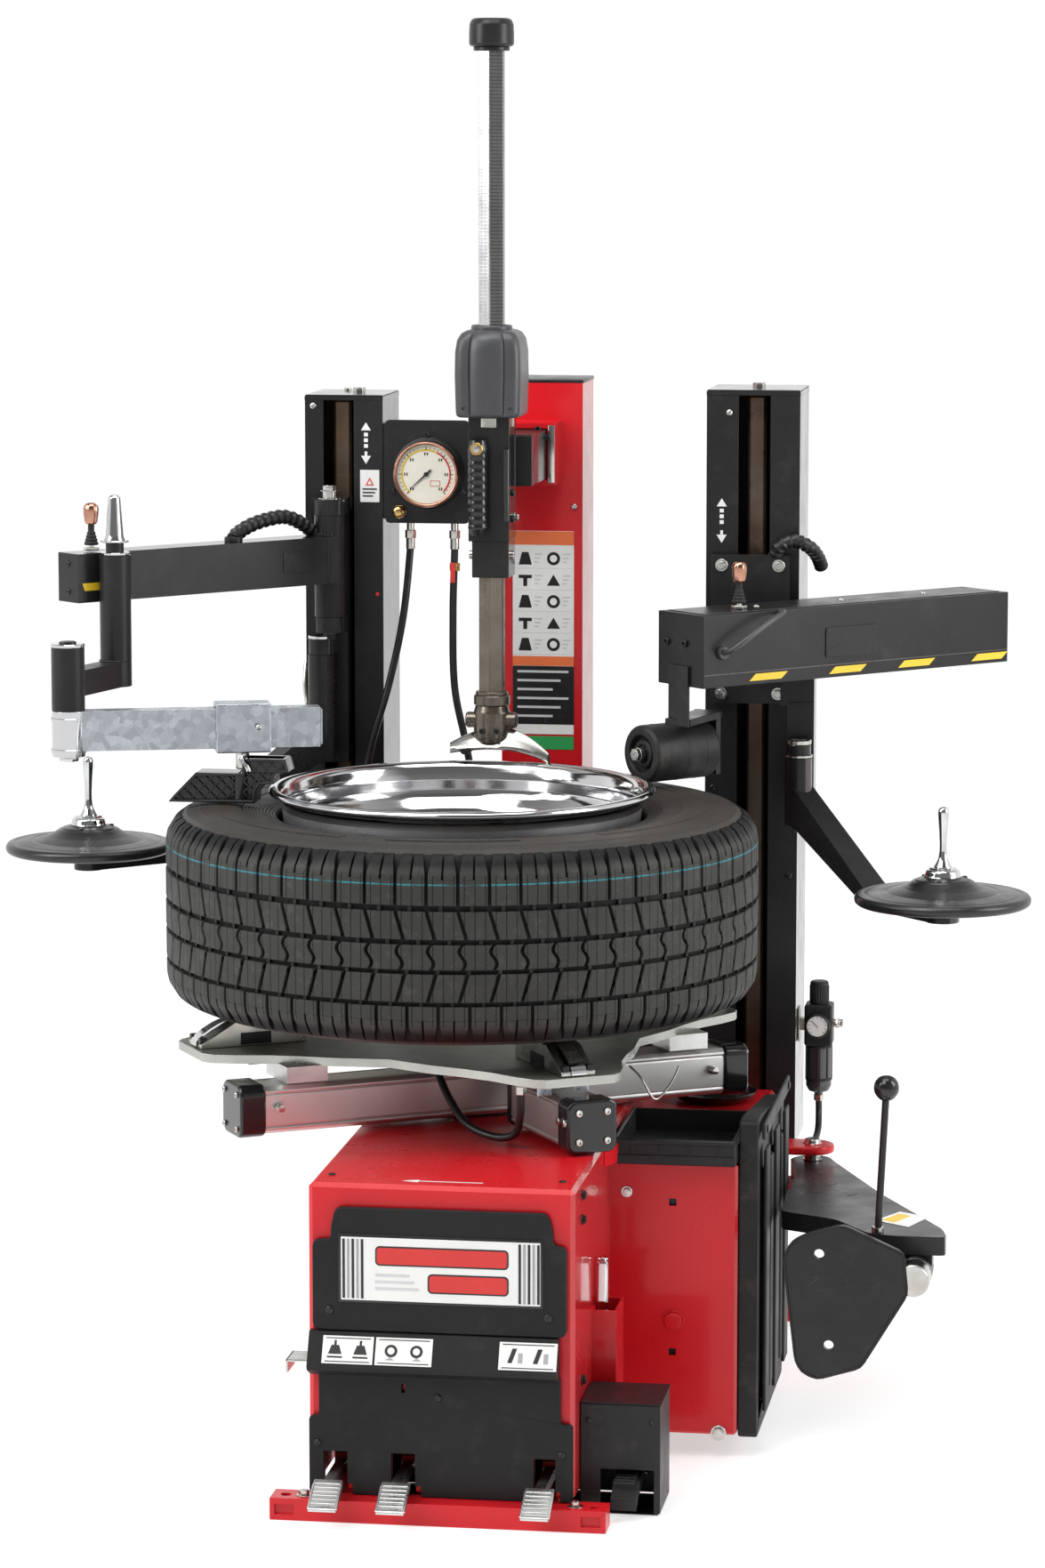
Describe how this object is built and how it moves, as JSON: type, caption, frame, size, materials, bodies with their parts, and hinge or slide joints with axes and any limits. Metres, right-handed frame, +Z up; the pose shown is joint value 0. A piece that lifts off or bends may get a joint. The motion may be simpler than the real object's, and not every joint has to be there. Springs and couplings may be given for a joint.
{
  "type": "tyre changer machine",
  "caption": "Garage tyre changer: foot-pedal cabinet, clamping turntable with a wheel on it, tilting tower with a hexagonal mast, two assist arms and a side bead breaker.",
  "frame": {"origin": "on the floor, under the centre of the machine's outline", "axes": "+Z up, -Y towards the operator at the pedals, +X to the operator's right"},
  "size_m": [1.485, 1.3, 1.982],
  "materials": {
    "red": "gloss powder coat",
    "black_paint": "satin powder coat",
    "black_plastic": "moulded, satin",
    "black_rubber": "matt",
    "tyre": "matt tread",
    "galvanised": "zinc plated",
    "table_steel": "zinc plated, satin",
    "aluminium": "satin",
    "polished_rim": "polished",
    "chrome": "polished",
    "mast_steel": "oiled bright steel",
    "cast": "rough cast",
    "dial": "glazed dial",
    "brass": "bright"
  },
  "bodies": {
    "root": {"base_frame": "red", "cabinet": "red", "name_cover": "black_paint", "pedal_cover": "black_paint", "pedal_box": "black_paint", "side_pad": "black_rubber", "tool_tray": "black_plastic", "gearbox": "cast", "drive_motor": "cast", "tower_bracket": "red", "left_column": "black_paint", "right_column": "black_paint", "left_guide_bar": "mast_steel", "right_guide_bar": "mast_steel", "gauge_panel": "black_paint", "pressure_gauge": "dial", "air_filter_unit": "black_plastic", "gauge_hose_1": "black_rubber", "gauge_hose_2": "black_rubber", "breaker_bracket": "red"},
    "bleed_button": {"bleed_button": "brass"},
    "tower_pedal": {"tower_pedal": "aluminium"},
    "clamp_pedal": {"clamp_pedal": "aluminium"},
    "rotation_pedal": {"rotation_pedal": "aluminium"},
    "inflation_pedal": {"inflation_pedal": "black_plastic"},
    "tyre_lever": {"tyre_lever": "chrome"},
    "turntable": {"turntable_plate": "table_steel", "clamp_cylinder_1": "aluminium", "clamp_cylinder_2": "aluminium", "clamp_hose_1": "black_rubber", "wheel_rim": "polished_rim", "tyre": "tyre"},
    "jaw_1": {"jaw_1": "galvanised"},
    "jaw_2": {"jaw_2": "galvanised"},
    "jaw_3": {"jaw_3": "galvanised"},
    "jaw_4": {"jaw_4": "galvanised"},
    "tower": {"tower": "red"},
    "slide_arm": {"slide_arm": "black_paint", "lock_cover": "black_plastic"},
    "lock_handle": {"lock_handle": "black_paint"},
    "mast": {"hex_mast": "mast_steel", "mount_head": "chrome"},
    "left_carriage": {"left_carriage": "black_paint"},
    "left_arm": {"left_arm": "black_paint"},
    "joystick_left": {"joystick_left": "black_plastic"},
    "left_link": {"left_link": "black_paint"},
    "press_arm": {"press_arm": "galvanised"},
    "press_slider": {"press_slider": "galvanised"},
    "press_block": {"press_block": "black_plastic"},
    "left_disc_arm": {"left_disc_arm": "black_paint"},
    "left_disc": {"left_disc": "black_rubber"},
    "right_carriage": {"right_carriage": "black_paint"},
    "right_arm": {"right_arm": "black_paint", "roller_bracket": "black_paint"},
    "joystick_right": {"joystick_right": "black_plastic"},
    "press_roller": {"press_roller": "black_plastic"},
    "right_disc_arm": {"right_disc_arm": "black_paint"},
    "right_disc": {"right_disc": "black_rubber"},
    "breaker_arm": {"breaker_arm": "black_paint"},
    "breaker_blade": {"breaker_blade": "black_paint"}
  },
  "joints": [
    {"name": "turntable_spin", "type": "hinge", "parent": "root", "child": "turntable", "pos_m": [-0.0565, -0.01, 0.5], "axis": [0, 0, 1], "continuous": true},
    {"name": "jaw_1_slide", "type": "slide", "parent": "turntable", "child": "jaw_1", "axis": [0.848, 0.5299, 0], "range_m": [0, 0.045]},
    {"name": "jaw_2_slide", "type": "slide", "parent": "turntable", "child": "jaw_2", "axis": [-0.5299, 0.848, 0], "range_m": [0, 0.045]},
    {"name": "jaw_3_slide", "type": "slide", "parent": "turntable", "child": "jaw_3", "axis": [-0.848, -0.5299, 0], "range_m": [0, 0.045]},
    {"name": "jaw_4_slide", "type": "slide", "parent": "turntable", "child": "jaw_4", "axis": [0.5299, -0.848, 0], "range_m": [0, 0.045]},
    {"name": "tower_pedal_press", "type": "hinge", "parent": "root", "child": "tower_pedal", "pos_m": [-0.141, -0.485, 0.0525], "axis": [1, 0, 0], "range_deg": [-4, 4], "stiffness_Nm_per_rad": 12},
    {"name": "clamp_pedal_press", "type": "hinge", "parent": "root", "child": "clamp_pedal", "pos_m": [-0.0505, -0.485, 0.0525], "axis": [1, 0, 0], "range_deg": [-4, 4], "stiffness_Nm_per_rad": 12},
    {"name": "rotation_pedal_press", "type": "hinge", "parent": "root", "child": "rotation_pedal", "pos_m": [0.141, -0.485, 0.0525], "axis": [1, 0, 0], "range_deg": [-4, 4], "stiffness_Nm_per_rad": 12},
    {"name": "inflation_pedal_press", "type": "hinge", "parent": "root", "child": "inflation_pedal", "pos_m": [0.2445, -0.428, 0.045], "axis": [1, 0, 0], "range_deg": [0, 4], "stiffness_Nm_per_rad": 6, "springref_deg": -5.73},
    {"name": "tyre_lever_lift", "type": "slide", "parent": "root", "child": "tyre_lever", "axis": [0, 0, 1], "range_m": [0, 0.13]},
    {"name": "bleed_button_press", "type": "slide", "parent": "root", "child": "bleed_button", "axis": [0, 1, 0], "range_m": [0, 0.004], "stiffness_N_per_m": 400, "springref_m": -0.002},
    {"name": "tower_tilt", "type": "hinge", "parent": "root", "child": "tower", "pos_m": [-0.015, 0.59, 0.606], "axis": [-1, 0, 0], "range_deg": [0, 25]},
    {"name": "arm_slide", "type": "slide", "parent": "tower", "child": "slide_arm", "axis": [0, 1, 0], "range_m": [-0.1, 0.13]},
    {"name": "lock_handle_swing", "type": "hinge", "parent": "slide_arm", "child": "lock_handle", "pos_m": [-0.0685, 0.206, 1.366], "axis": [-1, 0, 0], "range_deg": [0, 25]},
    {"name": "mast_slide", "type": "slide", "parent": "slide_arm", "child": "mast", "axis": [0, 0, 1], "range_m": [0, 0.16]},
    {"name": "left_carriage_lift", "type": "slide", "parent": "root", "child": "left_carriage", "axis": [0, 0, 1], "range_m": [0, 0.14]},
    {"name": "left_arm_swing", "type": "hinge", "parent": "left_carriage", "child": "left_arm", "pos_m": [-0.3145, 0.356, 1.18], "axis": [0, 0, 1], "range_deg": [-55, 0]},
    {"name": "joystick_left_tilt", "type": "hinge", "parent": "left_arm", "child": "joystick_left", "pos_m": [-0.6015, 0.04, 1.2265], "axis": [1, 0, 0], "range_deg": [-12, 12], "stiffness_Nm_per_rad": 0.5},
    {"name": "left_link_swing", "type": "hinge", "parent": "left_arm", "child": "left_link", "pos_m": [-0.5615, 0.016, 1.05], "axis": [0, 0, 1], "range_deg": [-50, 0]},
    {"name": "press_arm_swing", "type": "hinge", "parent": "left_link", "child": "press_arm", "pos_m": [-0.5985, -0.121, 0.985], "axis": [0, 0, 1], "range_deg": [-30, 30]},
    {"name": "press_slider_slide", "type": "slide", "parent": "press_arm", "child": "press_slider", "axis": [-0.9542, -0.2992, 0], "range_m": [0, 0.1]},
    {"name": "press_block_swivel", "type": "hinge", "parent": "press_slider", "child": "press_block", "pos_m": [-0.36495, -0.04776, 0.94], "axis": [0, 0, 1], "range_deg": [-8, 8]},
    {"name": "left_disc_arm_swing", "type": "hinge", "parent": "left_carriage", "child": "left_disc_arm", "pos_m": [-0.3295, 0.362, 0.95], "axis": [0, 0, 1], "range_deg": [-40, 0]},
    {"name": "left_disc_spin", "type": "hinge", "parent": "left_disc_arm", "child": "left_disc", "pos_m": [-0.6225, 0.09, 0.7915], "axis": [0, 0, 1], "continuous": true},
    {"name": "right_carriage_lift", "type": "slide", "parent": "root", "child": "right_carriage", "axis": [0, 0, 1], "range_m": [0, 0.12]},
    {"name": "right_arm_slide", "type": "slide", "parent": "right_carriage", "child": "right_arm", "axis": [0.7071, 0.7071, 0], "range_m": [0, 0.06]},
    {"name": "joystick_right_tilt", "type": "hinge", "parent": "right_arm", "child": "joystick_right", "pos_m": [0.3095, 0.24, 1.1365], "axis": [1, 0, 0], "range_deg": [-12, 12], "stiffness_Nm_per_rad": 0.5},
    {"name": "press_roller_spin", "type": "hinge", "parent": "right_arm", "child": "press_roller", "pos_m": [0.2135, 0.24, 0.9265], "axis": [0.7071, 0.7071, 0], "continuous": true},
    {"name": "right_disc_arm_swing", "type": "hinge", "parent": "right_carriage", "child": "right_disc_arm", "pos_m": [0.3885, 0.34, 0.86], "axis": [0, 0, 1], "range_deg": [-15, 45]},
    {"name": "right_disc_spin", "type": "hinge", "parent": "right_disc_arm", "child": "right_disc", "pos_m": [0.6175, 0.09, 0.744], "axis": [0, 0, 1], "continuous": true},
    {"name": "breaker_arm_swing", "type": "hinge", "parent": "root", "child": "breaker_arm", "pos_m": [0.4215, 0.252, 0.311], "axis": [0, 0, 1], "range_deg": [0, 40]},
    {"name": "breaker_blade_swivel", "type": "hinge", "parent": "breaker_arm", "child": "breaker_blade", "pos_m": [0.6055, -0.2303, 0.274], "axis": [0, 1, 0], "range_deg": [-12, 12]}
  ],
  "couplings": [
    {"joint": "jaw_2_slide", "follows": "jaw_1_slide", "ratio": 1},
    {"joint": "jaw_3_slide", "follows": "jaw_1_slide", "ratio": 1},
    {"joint": "jaw_4_slide", "follows": "jaw_1_slide", "ratio": 1}
  ]
}
